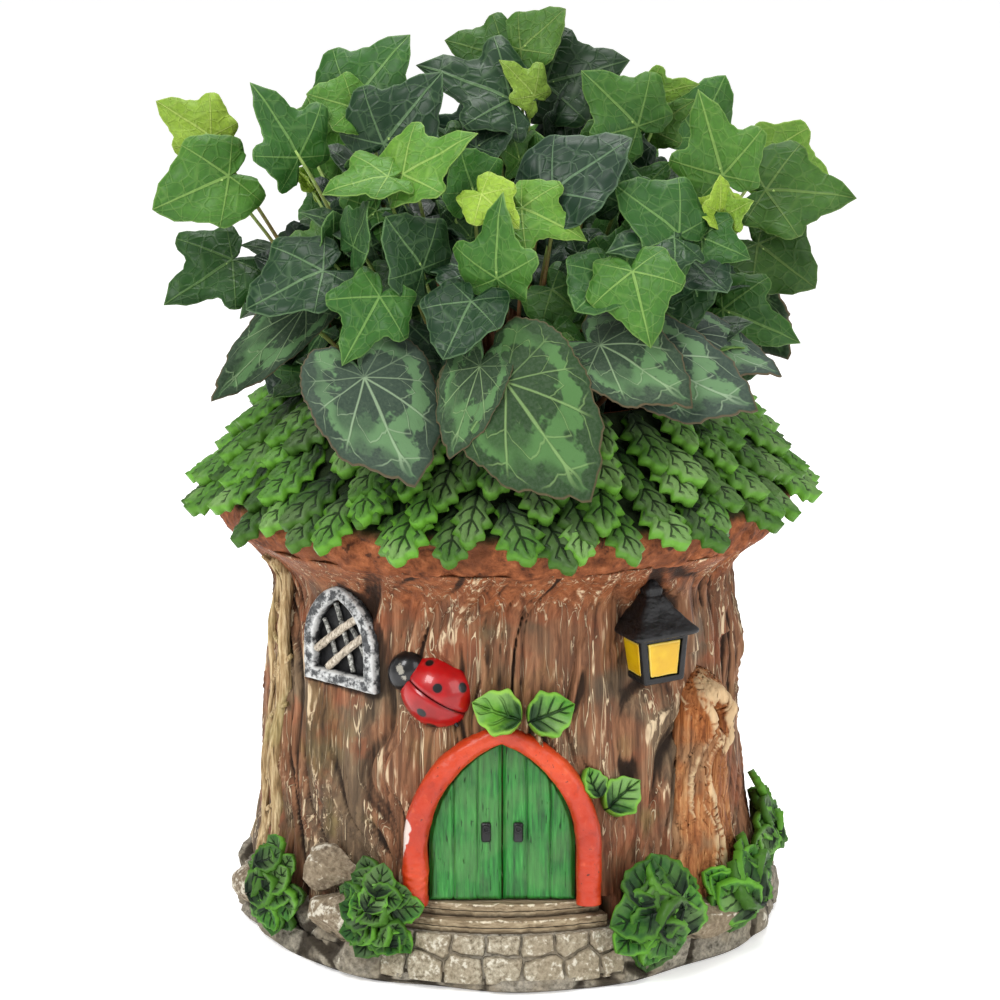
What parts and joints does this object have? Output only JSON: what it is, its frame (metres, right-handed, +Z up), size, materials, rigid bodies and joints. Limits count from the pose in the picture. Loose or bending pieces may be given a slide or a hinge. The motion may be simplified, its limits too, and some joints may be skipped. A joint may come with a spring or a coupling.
{
  "type": "planter",
  "caption": "Tree-stump garden planter with a leafy roof, arched double door, window, lantern and ladybird, planted with ivy and cyclamen.",
  "frame": {"origin": "centre of the drain hole in the plinth's underside, the face that rests on the ground", "axes": "+Z up; -Y out of the door; +X to the right of somebody who faces the door"},
  "size_m": [0.2639, 0.2518, 0.3497],
  "materials": {
    "plinth_resin": "cast resin painted as weathered grey rock",
    "rock_resin": "cast resin painted as pale rock",
    "paving_resin": "cast resin painted as worn stone setts",
    "bark_resin": "cast resin painted as bark with pale dry-brushed ridges",
    "door_paint": "green painted planks, satin",
    "black_paint": "black paint, satin to gloss",
    "arch_paint": "orange-red paint, semi-gloss",
    "moss_leaf_paint": "green painted foliage with dark hollows",
    "pewter_paint": "silver-grey paint with dark wash",
    "ladybird_red": "gloss red with black spots",
    "lantern_yellow": "yellow paint",
    "eave_resin": "cast resin painted reddish brown",
    "roof_leaf_paint": "green paint with dark veins and light rims",
    "compost": "moist compost",
    "cyclamen_leaf": "marbled dark green leaf",
    "ivy_leaf": "living ivy leaf, pale veins"
  },
  "bodies": {
    "planter": {"base_slab": "plinth_resin", "rock_bank": "plinth_resin", "rock_left_low": "rock_resin", "rock_left_top": "rock_resin", "rock_far_left": "rock_resin", "rock_right": "rock_resin", "paving_stones": "paving_resin", "doorstep_lower": "paving_resin", "doorstep_upper": "paving_resin", "trunk": "bark_resin", "door_left": "door_paint", "door_right": "door_paint", "door_handle_left": "black_paint", "door_handle_right": "black_paint", "door_arch": "arch_paint", "arch_leaf_left": "moss_leaf_paint", "arch_leaf_right": "moss_leaf_paint", "side_leaf_low": "moss_leaf_paint", "side_leaf_high": "moss_leaf_paint", "window_frame": "pewter_paint", "window_pane": "black_paint", "window_bars_back": "pewter_paint", "window_bars_front": "pewter_paint", "ladybird_body": "black_paint", "ladybird_wing_left": "ladybird_red", "ladybird_wing_right": "ladybird_red", "ladybird_head": "black_paint", "lantern_body": "black_paint", "lantern_panes": "lantern_yellow", "lantern_roof": "black_paint", "lantern_cap": "black_paint", "branch_stub": "bark_resin", "climbing_vine": "bark_resin", "foliage_far_left": "moss_leaf_paint", "foliage_door_left": "moss_leaf_paint", "foliage_door_right": "moss_leaf_paint", "foliage_right": "moss_leaf_paint", "foliage_back_right": "moss_leaf_paint", "roof_shell": "eave_resin", "leaf_tier_1": "roof_leaf_paint", "leaf_tier_2": "roof_leaf_paint", "leaf_tier_3": "roof_leaf_paint", "leaf_tier_4": "roof_leaf_paint"},
    "planting": {"root_ball": "compost", "cyclamen": "cyclamen_leaf", "ivy_front": "ivy_leaf", "ivy_back": "ivy_leaf"}
  },
  "joints": [
    {"name": "planting_lift", "type": "slide", "parent": "planter", "child": "planting", "axis": [0, 0, 1], "range_m": [0, 0.25]}
  ]
}
